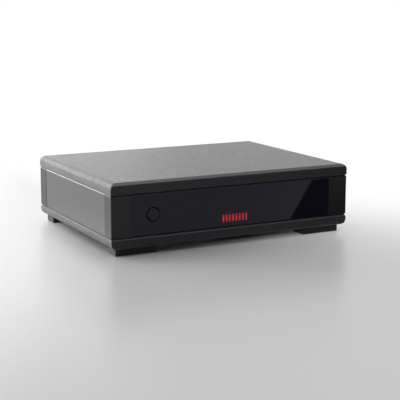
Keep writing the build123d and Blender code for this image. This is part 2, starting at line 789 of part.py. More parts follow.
# ---- Ground terminal: stud with a collar outside the panel, held by a nut inside ----
nut_y = (panel_y - ground_nut_length, panel_y)
with BuildPart() as ground_stud:
    bar(ground_x, socket_z, (nut_y[0] - stud_tail, back_y + post_reach), stud_radius)
    chamfer(ground_stud.edges().group_by(Axis.Y)[-1], stud_edge)
    bar(ground_x, socket_z, (back_y, back_y + ground_collar_length), stud_radius + ground_collar_step)
ground_stud.part.label = "ground_stud"
export_step(ground_stud.part, "parts/ground_stud.step")

with BuildPart() as ground_nut:
    with BuildSketch(across(nut_y[0])):
        with Locations((ground_x, socket_z)):
            RegularPolygon(stud_radius + ground_nut_wall, hex_side_count)
            Circle(stud_radius + slip, mode=Mode.SUBTRACT)
    extrude(amount=-ground_nut_length)
ground_nut.part.label = "ground_nut"
export_step(ground_nut.part, "parts/ground_nut.step")

# ---- Washer and knurled thumb nut: they travel out along the stud together ----
washer_y = back_y + ground_collar_length + ground_stack_gap
thumb_y = washer_y + washer_thickness + ground_stack_gap
with BuildPart() as ground_washer:
    bar(ground_x, socket_z, (washer_y, washer_y + washer_thickness), washer_radius)
    bar(ground_x, socket_z, (washer_y, washer_y + washer_thickness), stud_radius + slip, Mode.SUBTRACT)
ground_washer.part.label = "ground_washer"
export_step(ground_washer.part, "parts/ground_washer.step")

with BuildPart() as ground_thumb_nut:
    bar(ground_x, socket_z, (thumb_y, thumb_y + thumb_length), thumb_radius)
    chamfer(ground_thumb_nut.edges(), thumb_edge)
    with BuildSketch(across(thumb_y)):
        with Locations((ground_x, socket_z)):
            Circle(stud_radius + slip)
            with PolarLocations(thumb_radius, flute_count):
                Circle(flute_radius)
    extrude(amount=-thumb_length, mode=Mode.SUBTRACT)
ground_thumb_nut.part.label = "ground_thumb_nut"
export_step(ground_thumb_nut.part, "parts/ground_thumb_nut.step")

# ---- Loading switches: two banks whose faces show through the panel, four sliders in each ----
for place, bank_centre in banks.items():
    slider_places = [
        bank_centre + (index - (slider_count - 1) / 2) * slider_pitch for index in range(slider_count)
    ]
    slot_y = (slot_face_y - slider_length - slider_gap, slot_face_y)
    with BuildPart() as loading_bank:
        bank_sides = (bank_centre - bank_width / 2, bank_centre + bank_width / 2)
        block(bank_sides, (slot_face_y - bank_depth, slot_face_y), (board_top, board_top + bank_height))
        for x in slider_places:
            slot_half = slider_width / 2 + slider_gap
            slot_sides = (x - slot_half, x + slot_half)
            block(slot_sides, slot_y, (slot_z, slot_z + slot_height), Mode.SUBTRACT)
    loading_bank.part.label = f"loading_bank_{place}"
    export_step(loading_bank.part, f"parts/loading_bank_{place}.step")

    for number, x in enumerate(slider_places, start=1):
        with BuildPart() as slider:
            slider_sides = (x - slider_width / 2, x + slider_width / 2)
            slider_y = (slot_face_y - slider_length, slot_face_y + slider_proud)
            slider_z = slot_z + slider_gap
            block(slider_sides, slider_y, (slider_z, slider_z + slider_height))
        slider.part.label = f"loading_slider_{place}_{number}"
        export_step(slider.part, f"parts/loading_slider_{place}_{number}.step")

# ---- Reservoir capacitors: two cans with a rolled groove above the foot ----
with BuildPart() as reservoir_capacitors:
    with Locations(*[on_board(share) for share in reservoir_at]):
        Cylinder(reservoir_radius, reservoir_height, align=BOTTOM)
    fillet(reservoir_capacitors.edges().group_by(Axis.Z)[-1], reservoir_edge)
    with Locations(*[on_board(share) for share in reservoir_at]):
        with Locations((0, 0, reservoir_groove_height)):
            Torus(reservoir_radius, reservoir_groove, mode=Mode.SUBTRACT)
reservoir_capacitors.part.label = "reservoir_capacitors"
export_step(reservoir_capacitors.part, "parts/reservoir_capacitors.step")

# ---- Film capacitors: six upright boxes ----
with BuildPart() as film_capacitors:
    with Locations(on_board(film_at)):
        with GridLocations(film_size[0] + film_gap[0], film_size[1] + film_gap[1], *film_counts):
            Box(*film_size, align=BOTTOM)
    fillet(film_capacitors.edges().filter_by(Axis.Z), film_edge)
film_capacitors.part.label = "film_capacitors"
export_step(film_capacitors.part, "parts/film_capacitors.step")

# ---- Resistors: axial bodies held just above the board by their bent leads ----
with BuildPart() as resistors:
    row_pitch = 2 * resistor_radius + resistor_gap[1]
    lead_z = resistor_radius + resistor_lift
    with Locations(on_board(resistor_at)):
        with GridLocations(lead_span + resistor_gap[0], row_pitch, *resistor_counts):
            with Locations(Location((0, 0, lead_z), ALONG_X)):
                Cylinder(resistor_radius, resistor_length)
            with Locations((0, 0, lead_z)):
                Box(lead_span, lead_width, lead_width)
            with GridLocations(lead_span - lead_width, lead_width, 2, 1):
                Box(lead_width, lead_width, lead_z, align=BOTTOM)
resistors.part.label = "resistors"
export_step(resistors.part, "parts/resistors.step")

# ---- Amplifier chips: eight legs each, standing on the board ----
with BuildPart() as amplifier_chips:
    with Locations(*[on_board(share) for share in chips_at]):
        with Locations((0, 0, chip_lift)):
            Box(*chip_size, align=BOTTOM)
        with GridLocations(chip_size[0] + chip_leg_reach, chip_leg_pitch, 2, chip_side_legs):
            Box(chip_leg_reach, lead_width, chip_lift + chip_size[2] / 2, align=BOTTOM)
amplifier_chips.part.label = "amplifier_chips"
export_step(amplifier_chips.part, "parts/amplifier_chips.step")

# ---- Input transistors: round-backed bodies with a flat, on three legs ----
with BuildPart() as transistors:
    pitch = 2 * transistor_radius + transistor_gap
    with BuildSketch(Plane.XY.offset(board_top + transistor_lift)):
        with Locations(on_board(transistors_at)[:2]):
            with GridLocations(pitch, pitch, *transistor_counts):
                Circle(transistor_radius)
                with Locations((0, -transistor_radius)):
                    cut = transistor_radius - transistor_flat
                    Rectangle(2 * transistor_radius, 2 * cut, mode=Mode.SUBTRACT)
    extrude(amount=transistor_height)
    with Locations(on_board(transistors_at)):
        with GridLocations(pitch, pitch, *transistor_counts):
            with GridLocations(transistor_leg_pitch, transistor_leg_pitch, transistor_legs, 1):
                Box(lead_width, lead_width, transistor_lift, align=BOTTOM)
transistors.part.label = "transistors"
export_step(transistors.part, "parts/transistors.step")

# ---- Voltage regulators: tabs flat against finned heat sinks that stand on the board ----
with BuildPart() as heat_sinks:
    with BuildSketch(Plane.XY.offset(board_top)):
        with Locations(*[on_board(share)[:2] for share in sinks_at]):
            Rectangle(sink_width, sink_plate, align=(Align.CENTER, Align.MAX))
            fin_pitch = (sink_width - sink_fin) / (sink_fin_count - 1)
            with Locations((0, sink_fin_length / 2)):
                with GridLocations(fin_pitch, fin_pitch, sink_fin_count, 1):
                    Rectangle(sink_fin, sink_fin_length)
    extrude(amount=sink_height)
heat_sinks.part.label = "heat_sinks"
export_step(heat_sinks.part, "parts/heat_sinks.step")

with BuildPart() as regulators:
    with Locations(*[on_board(share) for share in sinks_at]):
        with Locations((0, -sink_plate - regulator_tab / 2, regulator_lift)):
            Box(regulator_width, regulator_tab, regulator_tab_height, align=BOTTOM)
        with Locations((0, -sink_plate - regulator_body / 2, regulator_lift)):
            Box(regulator_width, regulator_body, regulator_body_height, align=BOTTOM)
        with Locations((0, -sink_plate - regulator_body / 2, 0)):
            with GridLocations(chip_leg_pitch, chip_leg_pitch, regulator_legs, 1):
                Box(lead_width, lead_width, regulator_lift, align=BOTTOM)
regulators.part.label = "regulators"
export_step(regulators.part, "parts/regulators.step")
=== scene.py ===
import math

import bpy
import numpy as np
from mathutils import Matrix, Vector


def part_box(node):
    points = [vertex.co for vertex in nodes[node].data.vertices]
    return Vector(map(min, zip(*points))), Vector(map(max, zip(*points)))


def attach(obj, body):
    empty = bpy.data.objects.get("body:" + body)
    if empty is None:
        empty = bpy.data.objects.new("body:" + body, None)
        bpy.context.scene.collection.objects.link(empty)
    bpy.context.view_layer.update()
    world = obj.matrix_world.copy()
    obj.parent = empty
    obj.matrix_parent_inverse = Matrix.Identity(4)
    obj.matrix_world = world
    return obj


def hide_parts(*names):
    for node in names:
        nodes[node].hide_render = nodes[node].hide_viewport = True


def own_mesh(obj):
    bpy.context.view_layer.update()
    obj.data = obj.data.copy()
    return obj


# Phono preamp in a low desktop case: a lid and a base with a wrinkle coat, satin side panels, a
# moulded front with a gloss window, and sockets, ground terminal and loading switches at the back.
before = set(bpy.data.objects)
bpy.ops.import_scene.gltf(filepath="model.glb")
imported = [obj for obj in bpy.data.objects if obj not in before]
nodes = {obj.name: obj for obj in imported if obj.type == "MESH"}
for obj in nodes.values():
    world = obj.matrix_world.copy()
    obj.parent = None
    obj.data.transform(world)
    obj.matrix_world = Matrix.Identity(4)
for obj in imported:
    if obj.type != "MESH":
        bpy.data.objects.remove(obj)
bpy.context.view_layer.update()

# ---- Camera ----
# A long lens, a little above the case and to the left of its front, so that the front, the left
# side and the top all show.
camera_turn = math.radians(-27.256)
camera_rise = math.radians(10.893)
camera_distance = 0.7995
camera_aim = Vector((0.0045, -0.01395, 0.0198))
camera_lens = 99.65
camera_data = bpy.data.cameras.new("camera")
camera_data.lens = camera_lens
camera = bpy.data.objects.new("camera", camera_data)
away = Vector((
    math.sin(camera_turn) * math.cos(camera_rise),
    -math.cos(camera_turn) * math.cos(camera_rise),
    math.sin(camera_rise),
))
camera.location = camera_aim + away * camera_distance
camera.rotation_mode = "QUATERNION"
camera.rotation_quaternion = (-away).to_track_quat("-Z", "Y")
bpy.context.scene.collection.objects.link(camera)
bpy.context.scene.camera = camera
bpy.context.scene.view_settings.view_transform = "Standard"

# ---- Table top ----
# A wide sheet of pale satin acrylic under the case. It mirrors the case softly, stays dark below
# it, and away from it glows white: a painted light that runs out into the white of the studio far
# away, and sooner on the case's left and right.
table_half = 6.0
far_start = 0.35  # the distance at which the table begins to go over to white
far_end = 0.9
side_fades = (  # a direction, and where along it going over to white begins and ends
    ((-0.9, 0.44, 0.0), 0.06, 0.19),
    ((0.8, 0.6, 0.0), -0.09, 0.19),
)
dark_start = -0.018  # how far inside the outline of the case the light's last trace is
dark_end = 0.002
case_low, case_high = np.array(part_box("base_tray"))
case_middle = (case_low + case_high) / 2
case_half = (case_high - case_low) / 2


def linear(colour):
    """Linear RGBA of an sRGB hex colour."""
    share = np.array([int(colour[i : i + 2], 16) for i in (1, 3, 5)]) / 255
    light = np.where(share <= 0.04045, share / 12.92, ((share + 0.055) / 1.055) ** 2.4)
    return (*light.tolist(), 1.0)


def add_node(tree, kind, sockets=None, **settings):
    """Adds a shader node. settings are its own properties. sockets gives each input by its name or
    number: a value, an output that is linked to it, or a node whose first output is."""
    made = tree.nodes.new(kind)
    for name, value in settings.items():
        setattr(made, name, value)
    for name, value in (sockets or {}).items():
        if isinstance(value, bpy.types.Node):
            value = value.outputs[0]
        if isinstance(value, bpy.types.NodeSocket):
            tree.links.new(value, made.inputs[name])
        else:
            made.inputs[name].default_value = value
    return made


def new_finish(name):
    """An empty material and its node tree."""
    finish = bpy.data.materials.new(name)
    finish.use_nodes = True
    finish.node_tree.nodes.clear()
    return finish, finish.node_tree


def new_piece(name, points, faces, finish, smooth=True):
    """Makes a mesh object at the origin from an array of points and one of faces."""
    mesh = bpy.data.meshes.new(name)
    mesh.from_pydata(points.reshape(-1, 3).tolist(), [], [list(face) for face in faces])
    mesh.materials.append(finish)
    mesh.polygons.foreach_set("use_smooth", np.full(len(mesh.polygons), smooth))
    mesh.update()
    piece = bpy.data.objects.new(name, mesh)
    bpy.context.scene.collection.objects.link(piece)
    return piece


table_finish, tree = new_finish("pale satin acrylic sheet")
place = add_node(tree, "ShaderNodeTexCoord").outputs["Object"]
table = add_node(tree, "ShaderNodeBsdfPrincipled", {
    "Base Color": linear("#9a9a9b"),
    "Roughness": 0.3,
    "IOR": 1.5,
})
distance = add_node(tree, "ShaderNodeVectorMath", {0: place}, operation="LENGTH")
fade = add_node(tree, "ShaderNodeMapRange", {
    "Value": distance.outputs["Value"],
    "From Min": far_start,
    "From Max": far_end,
}, interpolation_type="SMOOTHSTEP")
for toward, start, end in side_fades:
    beside = add_node(tree, "ShaderNodeVectorMath", {0: place, 1: toward}, operation="DOT_PRODUCT")
    lit_side = add_node(tree, "ShaderNodeMapRange", {
        "Value": beside.outputs["Value"],
        "From Min": start,
        "From Max": end,
    }, interpolation_type="SMOOTHSTEP")
    fade = add_node(tree, "ShaderNodeMath", {0: fade, 1: lit_side}, operation="MAXIMUM")
from_case = add_node(tree, "ShaderNodeMapping", {
    "Vector": place,
    "Location": (case_middle[0], case_middle[1], 0.0),
}, vector_type="TEXTURE")
both_sides = add_node(tree, "ShaderNodeVectorMath", {0: from_case}, operation="ABSOLUTE")
outside = add_node(tree, "ShaderNodeVectorMath", {
    0: both_sides,
    1: (case_half[0], case_half[1], 0.0),
}, operation="SUBTRACT")
beyond = add_node(tree, "ShaderNodeSeparateXYZ", {0: outside})
margin = add_node(tree, "ShaderNodeMath", {
    0: beyond.outputs["X"],
    1: beyond.outputs["Y"],
}, operation="MAXIMUM")
open_light = add_node(tree, "ShaderNodeMapRange", {
    "Value": margin,
    "From Min": dark_start,
    "From Max": dark_end,
}, interpolation_type="SMOOTHSTEP")
# The share of painted white glow: none under the case, growing far away and to the left and right.
pale = add_node(tree, "ShaderNodeMath", {0: fade, 1: open_light}, operation="MULTIPLY")
white = add_node(tree, "ShaderNodeEmission", {"Color": linear("#ffffff"), "Strength": 1.0})
mixed = add_node(tree, "ShaderNodeMixShader", {0: pale, 1: table, 2: white})
add_node(tree, "ShaderNodeOutputMaterial", {"Surface": mixed})
corners = np.array([[-1, -1, 0], [1, -1, 0], [1, 1, 0], [-1, 1, 0]]) * table_half
new_piece("table_top", corners, [[0, 1, 2, 3]], table_finish, smooth=False)

# ---- Studio ----
# White all round to the eye. Most of the light comes from the left and from behind the case: a wide
# window wall on the left, and softboxes. Reflectors above and on the right fill in.
dim_level = 0.05
glows = (  # direction, spread in degrees and strength
    ((-0.86, 0.49, 0.16), 20, 1.5),
    ((-0.48, 0.84, 0.25), 41, 1.2),
    ((-0.84, 0.49, 0.22), 41, 2.0),
    ((-0.96, -0.08, 0.25), 41, 1.4),
    ((0.64, 0.76, 0.07), 38, 0.75),
    ((0.41, 0.49, 0.77), 38, 0.85),
    ((-0.41, -0.49, 0.77), 38, 1.35),
    ((0.0, 0.09, 1.0), 55, 1.8),
)
softboxes = (  # place, width, height and watts; each one faces the case
    ((-0.45, 0.55, 0.22), 0.7, 0.4, 3.0),
    ((-0.05, 0.35, 0.14), 0.4, 0.15, 0.26),
    ((-0.30, 0.35, 0.45), 0.5, 0.5, 1.2),
    ((-0.45, 0.20, 0.20), 0.4, 0.25, 0.9),
)
world = bpy.data.worlds.new("studio")
bpy.context.scene.world = world
world.use_nodes = True
tree = world.node_tree
tree.nodes.clear()
ray = add_node(tree, "ShaderNodeLightPath")
direction = add_node(tree, "ShaderNodeTexCoord").outputs["Generated"]
level = dim_level
for toward, spread, strength in glows:
    facing = add_node(tree, "ShaderNodeVectorMath", {
        0: direction,
        1: tuple(Vector(toward).normalized()),
    }, operation="DOT_PRODUCT")
    glow = add_node(tree, "ShaderNodeMapRange", {
        "Value": facing.outputs["Value"],
        "From Min": math.cos(math.radians(spread)),
        "From Max": 1.0,
        "To Max": strength,
    }, interpolation_type="SMOOTHSTEP")
    level = add_node(tree, "ShaderNodeMath", {0: level, 1: glow}, operation="ADD")
soft = add_node(tree, "ShaderNodeBackground", {"Color": linear("#ffffff"), "Strength": level})
plain = add_node(tree, "ShaderNodeBackground", {"Color": linear("#ffffff"), "Strength": 1.0})
mixed = add_node(tree, "ShaderNodeMixShader", {0: ray.outputs["Is Camera Ray"], 1: soft, 2: plain})
add_node(tree, "ShaderNodeOutputWorld", {"Surface": mixed})
for spot, width, height, watts in softboxes:
    softbox_data = bpy.data.lights.new("softbox", "AREA")
    softbox_data.shape = "RECTANGLE"
    softbox_data.size = width
    softbox_data.size_y = height
    softbox_data.energy = watts
    softbox = bpy.data.objects.new("softbox", softbox_data)
    softbox.location = spot
    softbox.rotation_mode = "QUATERNION"
    softbox.rotation_quaternion = Vector(spot).to_track_quat("Z", "Y")
    softbox.visible_camera = False
    bpy.context.scene.collection.objects.link(softbox)

# ---- Dark reflection card ----
# A dark sheet lies on the table to the right, in front of the case, cut off at a slant. Only gloss
# shows it: it puts a painted dark reflection into the right end of the window. Its underside lets
# everything through.
reflection_card_height = 0.0005
reflection_card_outline = np.array([[0.0432, -0.0838], [0.4337, -0.5805], [1.5, -0.5805], [1.5, -0.0838]])
reflection_card_finish, tree = new_finish("black felt")
side = add_node(tree, "ShaderNodeNewGeometry")
# This dark colour is seen only in reflections: a painted reflection.
card_surface = add_node(tree, "ShaderNodeBsdfDiffuse", {"Color": linear("#38383f")})
clear = add_node(tree, "ShaderNodeBsdfTransparent")
mixed = add_node(tree, "ShaderNodeMixShader", {0: side.outputs["Backfacing"], 1: card_surface, 2: clear})
add_node(tree, "ShaderNodeOutputMaterial", {"Surface": mixed})
reflection_card_points = np.column_stack([reflection_card_outline, np.full(len(reflection_card_outline), reflection_card_height)])
reflection_card = new_piece("reflection_card", reflection_card_points, [[0, 1, 2, 3]], reflection_card_finish, smooth=False)
reflection_card.visible_camera = False
reflection_card.visible_diffuse = False
reflection_card.visible_shadow = False
reflection_card.visible_transmission = False

# ---- Base tray and lid ----
# Folded sheet steel under a fine wrinkle powder coat: near black and rough to the eye, and grey
# where light comes in low over it. The bevels along the front and back of the top are painted a
# little lighter: a painted highlight.
wrinkle_size = 0.0018  # a real wrinkle is about 0.5 mm; it is drawn coarser so that it shows
wrinkle_height = 0.0009
mottle_size = 0.0035  # the unevenness of the spray
edge_width = 0.0007
bevel_tilt = 0.6  # a bevel faces up by more than this, and a flat top by more than the next
flat_tilt = 0.85
across_tilt = 0.5  # the bevels at the front and the back face along Y by more than this


def put_on(finish, *names):
    """Gives a finish to CAD nodes by name."""
    for name in names:
        nodes[name].data.materials.clear()
        nodes[name].data.materials.append(finish)


coat, tree = new_finish("black wrinkle powder coat")
place = add_node(tree, "ShaderNodeTexCoord")
wrinkle = add_node(tree, "ShaderNodeTexNoise", {
    "Vector": place.outputs["Object"],
    "Scale": 1 / wrinkle_size,
    "Detail": 4.0,
    "Roughness": 0.75,
    "Distortion": 0.3,
}).outputs["Fac"]
mottle = add_node(tree, "ShaderNodeTexNoise", {
    "Vector": place.outputs["Object"],
    "Scale": 1 / mottle_size,
    "Detail": 3.0,
    "Roughness": 0.7,
}).outputs["Fac"]
rounding = add_node(tree, "ShaderNodeBevel", {"Radius": edge_width}, samples=6)
relief = add_node(tree, "ShaderNodeBump", {
    "Height": wrinkle,
    "Strength": 0.8,
    "Distance": wrinkle_height,
    "Normal": rounding,
})
facing = add_node(tree, "ShaderNodeSeparateXYZ", {0: place.outputs["Normal"]})
tilted = add_node(tree, "ShaderNodeMath", {
    0: facing.outputs["Z"],
    1: bevel_tilt,
}, operation="GREATER_THAN")
sloping = add_node(tree, "ShaderNodeMath", {
    0: facing.outputs["Z"],
    1: flat_tilt,
}, operation="LESS_THAN")
lengthways = add_node(tree, "ShaderNodeMath", {0: facing.outputs["Y"]}, operation="ABSOLUTE")
across_case = add_node(tree, "ShaderNodeMath", {
    0: lengthways,
    1: across_tilt,
}, operation="GREATER_THAN")
# The bevels that face up and towards the front or back get a lighter colour below: a painted
# highlight.
bevel = add_node(tree, "ShaderNodeMath", {0: tilted, 1: sloping}, operation="MULTIPLY")
bevel_highlight = add_node(tree, "ShaderNodeMath", {0: bevel, 1: across_case}, operation="MULTIPLY")
tint = add_node(tree, "ShaderNodeMix", {
    "Factor": wrinkle,
    6: linear("#050507"),
    7: linear("#1e1e23"),
}, data_type="RGBA").outputs[2]
tint_with_bevel_highlight = add_node(tree, "ShaderNodeMix", {
    "Factor": bevel_highlight,
    6: tint,
    7: linear("#3e3e44"),
}, data_type="RGBA").outputs[2]
unevenness = add_node(tree, "ShaderNodeMix", {"Factor": 0.5, 2: wrinkle, 3: mottle})
gloss = add_node(tree, "ShaderNodeMapRange", {
    "Value": unevenness,
    "From Min": 0.35,
    "From Max": 0.65,
    "To Min": 0.52,
    "To Max": 0.27,
})
surface = add_node(tree, "ShaderNodeBsdfPrincipled", {
    "Base Color": tint_with_bevel_highlight,
    "Roughness": gloss,
    "IOR": 1.5,
    "Sheen Weight": 0.22,
    "Sheen Roughness": 0.4,
    "Normal": relief,
})
add_node(tree, "ShaderNodeOutputMaterial", {"Surface": surface})
put_on(coat, "top_cover", "base_tray")

# ---- Feet ----
# Four low blocks of moulded rubber, pressed by two pegs each into the floor of the base. They are
# matt, with a trace of pale dust.


def grained_finish(name, low, high, roughness, grain, relief_height, edge=0.0, shader=None):
    """A moulded, drawn or plated finish from one fractal noise. low and high are its colours, and
    roughness its two values, at the noise's two ends. grain is the noise's size in metres, the same
    all round or along X, Y and Z, relief_height its height, and edge the width of the softened
    edges. shader has more sockets of the Principled shader."""
    made, tree = new_finish(name)
    sized = add_node(tree, "ShaderNodeMapping", {
        "Vector": add_node(tree, "ShaderNodeTexCoord").outputs["Object"],
        "Scale": tuple(1 / np.broadcast_to(grain, 3)),
    })
    cloud = add_node(tree, "ShaderNodeTexNoise", {
        "Vector": sized,
        "Scale": 1.0,
        "Detail": 3.0,
        "Roughness": 0.6,
    }).outputs["Fac"]
    tint = add_node(tree, "ShaderNodeMix", {
        "Factor": cloud,
        6: linear(low),
        7: linear(high),
    }, data_type="RGBA").outputs[2]
    gloss = add_node(tree, "ShaderNodeMapRange", {
        "Value": cloud,
        "From Min": 0.3,
        "From Max": 0.7,
        "To Min": roughness[0],
        "To Max": roughness[1],
    })
    relief = add_node(tree, "ShaderNodeBump", {
        "Height": cloud,
        "Strength": 0.7,
        "Distance": relief_height,
    })
    if edge:
        rounding = add_node(tree, "ShaderNodeBevel", {"Radius": edge}, samples=6)
        tree.links.new(rounding.outputs["Normal"], relief.inputs["Normal"])
    surface = add_node(tree, "ShaderNodeBsdfPrincipled", {
        "Base Color": tint,
        "Roughness": gloss,
        "Normal": relief,
        **(shader or {}),
    })
    add_node(tree, "ShaderNodeOutputMaterial", {"Surface": surface})
    return made


rubber = grained_finish(
    "moulded black rubber", "#09090b", "#131317", roughness=(0.75, 0.5), grain=0.0009,
    relief_height=0.0001, edge=0.0005, shader={"Sheen Weight": 0.12, "Sheen Roughness": 0.5},
)
put_on(rubber, *[name for name in nodes if name.startswith("foot_")])

# ---- Side panels ----
# Steel sheet with a smooth satin coat, held between the lid's rim and the base. The coat has the
# faint orange peel of a sprayed film, and at a low angle it takes on the light of the table.
satin = grained_finish(
    "satin black sprayed coat", "#18181c", "#1e1e23", roughness=(0.38, 0.32), grain=0.0025,
    relief_height=0.00004, edge=0.0003, shader={"IOR": 1.75},
)
put_on(satin, "side_panel_left", "side_panel_right")

# ---- Front and rear mouldings ----
# Injection-moulded ABS with the fine spark texture of its tool, which keeps it dull and nearly
# black. The mouldings close the case at both ends and wrap round its corners.
moulded = grained_finish(
    "spark-textured black ABS", "#0a0a0c", "#111115", roughness=(0.44, 0.34), grain=0.0008,
    relief_height=0.00006, edge=0.0005, shader={"IOR": 1.5},
)
put_on(moulded, "front_fascia", "rear_panel")

# ---- Window ----
# A sheet of gloss acrylic, black with a trace of violet, glued into the front moulding. It mirrors
# the table clearly, with the slight swim of a moulded sheet.
window = grained_finish(
    "gloss black acrylic", "#08060f", "#0b0914", roughness=(0.03, 0.05), grain=(0.03, 0.03, 0.02),
    relief_height=0.00002, edge=0.0003, shader={"IOR": 1.49, "Specular Tint": linear("#f2ecff")},
)
put_on(window, "fascia_window")

# ---- Power button, switch and nylon blocks ----
# The button is moulded ABS. The plunger and the switch housing behind it are moulded nylon, and so
# are the socket blocks, the inlet and the link between the boards.
# A polished tool gives the button a clean, sharp shine.
button = grained_finish(
    "polished black ABS", "#070609", "#0b0a0f", roughness=(0.1, 0.16), grain=0.0015,
    relief_height=0.00001, edge=0.0004, shader={"IOR": 1.48, "Specular Tint": linear("#f2ecff")},
)
put_on(button, "power_button")
# Nylon comes out of the mould dull and a little cloudy.
nylon = grained_finish(
    "black nylon", "#101010", "#1d1d1e", roughness=(0.5, 0.4), grain=0.0012,
    relief_height=0.00005, edge=0.0003, shader={"IOR": 1.53},
)
put_on(
    nylon, "switch_plunger", "switch_housing", "board_link",
    "socket_block_input", "socket_block_output", "power_inlet",
)

# ---- Return spring ----
# A coil of drawn steel wire between the plunger's head and the back of the switch housing. It
# stands for the coil of the model and stays fixed to the case.
coil_low, coil_high = np.array(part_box("switch_spring"))
coil_middle = (coil_low + coil_high) / 2
wire_radius = 0.0002
wire_sides = 8
coil_radius = (coil_high[0] - coil_low[0]) / 2 - wire_radius
coil_turns = 4
steps_per_turn = 24
end_cap = 0.0005  # the share of the coil's length that closes each end of the wire


def grid_faces(rows, columns):
    """Quads of a grid of points numbered row by row. Each row's end joins its start."""
    row, column = np.meshgrid(np.arange(rows - 1), np.arange(columns), indexing="ij")
    here, above = row * columns, (row + 1) * columns
    after = (column + 1) % columns
    return np.stack([here + column, above + column, above + after, here + after], -1).reshape(-1, 4)


def tube(path, radii, sides, side):
    """A tube round a path: each point of the path carries a circle of its radius, square to the
    path's direction there, and a radius of 0 closes an end. side is one direction, or one for each
    point, that is always square to the path."""
    ahead = np.gradient(path, axis=0)
    ahead /= np.linalg.norm(ahead, axis=1)[:, None]
    side = np.asarray(side, float).reshape(-1, 1, 3)
    upward = np.cross(ahead[:, None, :], side)
    turn = np.linspace(0, 2 * np.pi, sides, endpoint=False)[:, None]
    ring = np.cos(turn) * side + np.sin(turn) * upward
    points = path[:, None, :] + ring * np.asarray(radii)[:, None, None]
    return points.reshape(-1, 3), grid_faces(len(path), sides)


# The wire turns about the button's axis at one radius while it climbs evenly along Y.
climb = np.array([-end_cap, *np.linspace(0, 1, steps_per_turn * coil_turns + 1), 1 + end_cap])
angle = 2 * np.pi * coil_turns * climb
outward = np.stack([np.cos(angle), 0 * angle, np.sin(angle)], -1)
coil_path = coil_middle + coil_radius * outward
coil_path[:, 1] = coil_low[1] + wire_radius + climb * (coil_high[1] - coil_low[1] - 2 * wire_radius)
wire_radii = [0, *[wire_radius] * (len(climb) - 2), 0]
# Drawing leaves the wire grey and bright, with duller patches.
wire = grained_finish(
    "drawn spring steel", "#8c8d90", "#b4b5b8", roughness=(0.22, 0.34), grain=0.0004,
    relief_height=0.00002, shader={"Metallic": 1.0},
)
coil_points, coil_faces = tube(coil_path, wire_radii, wire_sides, outward)
coil = new_piece("return_spring", coil_points, coil_faces.tolist(), wire)
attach(coil, "case")
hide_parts("switch_spring")
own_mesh(coil)

# ---- Lit bars and lamps ----
# Eight bars of clear red acrylic in the window, lit from behind by four red lamps of cast epoxy.
# The light is strongest in the middle of each bar, and a little cloudy.
mark_z = 0.0186
bar_half = 0.0025
bar_light = 1.05
cloud_scale = 900.0  # clouds of about 1.1 mm
lit, tree = new_finish("lit red acrylic")
place = add_node(tree, "ShaderNodeTexCoord").outputs["Object"]
split = add_node(tree, "ShaderNodeSeparateXYZ", {0: place})
height = add_node(tree, "ShaderNodeMath", {0: split.outputs["Z"], 1: mark_z}, operation="SUBTRACT")
above = add_node(tree, "ShaderNodeMath", {0: height}, operation="ABSOLUTE")
glow = add_node(tree, "ShaderNodeMapRange", {
    "Value": above,
    "From Min": 0.0,
    "From Max": bar_half,
    "To Min": 0.85,
    "To Max": 0.45,
}, interpolation_type="SMOOTHSTEP")
cloud = add_node(tree, "ShaderNodeTexNoise", {
    "Vector": place,
    "Scale": cloud_scale,
    "Detail": 2.0,
}).outputs["Fac"]
uneven = add_node(tree, "ShaderNodeMath", {0: glow, 1: cloud}, operation="MULTIPLY")
strength = add_node(tree, "ShaderNodeMath", {0: uneven, 1: bar_light}, operation="MULTIPLY")
surface = add_node(tree, "ShaderNodeBsdfPrincipled", {
    "Base Color": linear("#8c1420"),
    "Roughness": 0.25,
    "IOR": 1.49,
    "Emission Color": linear("#d2283a"),
    "Emission Strength": strength,
})
add_node(tree, "ShaderNodeOutputMaterial", {"Surface": surface})
put_on(lit, "light_guide")
# Cast epoxy is clear and smooth, so the lamps look wet and deep red.
lamp = grained_finish(
    "cast red epoxy", "#9c1018", "#c4202a", roughness=(0.12, 0.2), grain=0.002,
    relief_height=0.00001, shader={"IOR": 1.55, "Transmission Weight": 0.5},
)
put_on(lamp, "indicator_lamps")

# ---- Boards ----
# Glass-epoxy laminate under green solder resist. Copper tracks show as lighter lines through the
# resist, round tinned holes end them, and the bare cut edge is straw-coloured.
board_top = 0.01415
track_runs = ((0.0, 0.0062), (math.radians(90), 0.0081))  # the turn of each run and its pitch
track_height = 0.00004
pad_pitch = 0.0045
pad_radius = 0.16  # as a share of the pitch
broad_tilt = 0.6  # a board's broad sides face along Y or Z by more than this, and its edges less
laminate, tree = new_finish("green solder resist on glass epoxy")
place = add_node(tree, "ShaderNodeTexCoord").outputs["Object"]
runs = []
for turn, pitch in track_runs:
    turned = add_node(tree, "ShaderNodeMapping", {
        "Vector": place,
        "Rotation": (0.0, 0.0, turn),
        "Scale": (1 / pitch,) * 3,
    })
    bricks = add_node(tree, "ShaderNodeTexBrick", {
        "Vector": turned,
        "Scale": 1.0,
        "Mortar Size": 0.045,
        "Mortar Smooth": 0.2,
        "Brick Width": 1.7,
        "Row Height": 0.41,
    }, offset=0.37, squash=1.6, squash_frequency=3)
    runs.append(bricks.outputs["Fac"])
tracks = add_node(tree, "ShaderNodeMath", {0: runs[0], 1: runs[1]}, operation="MAXIMUM")
cells = add_node(tree, "ShaderNodeTexVoronoi", {
    "Vector": place,
    "Scale": 1 / pad_pitch,
    "Randomness": 0.35,
})
pads = add_node(tree, "ShaderNodeMath", {
    0: cells.outputs["Distance"],
    1: pad_radius,
}, operation="LESS_THAN")
resist = add_node(tree, "ShaderNodeMix", {
    "Factor": tracks,
    6: linear("#0f3d24"),
    7: linear("#1f6b3c"),
}, data_type="RGBA").outputs[2]
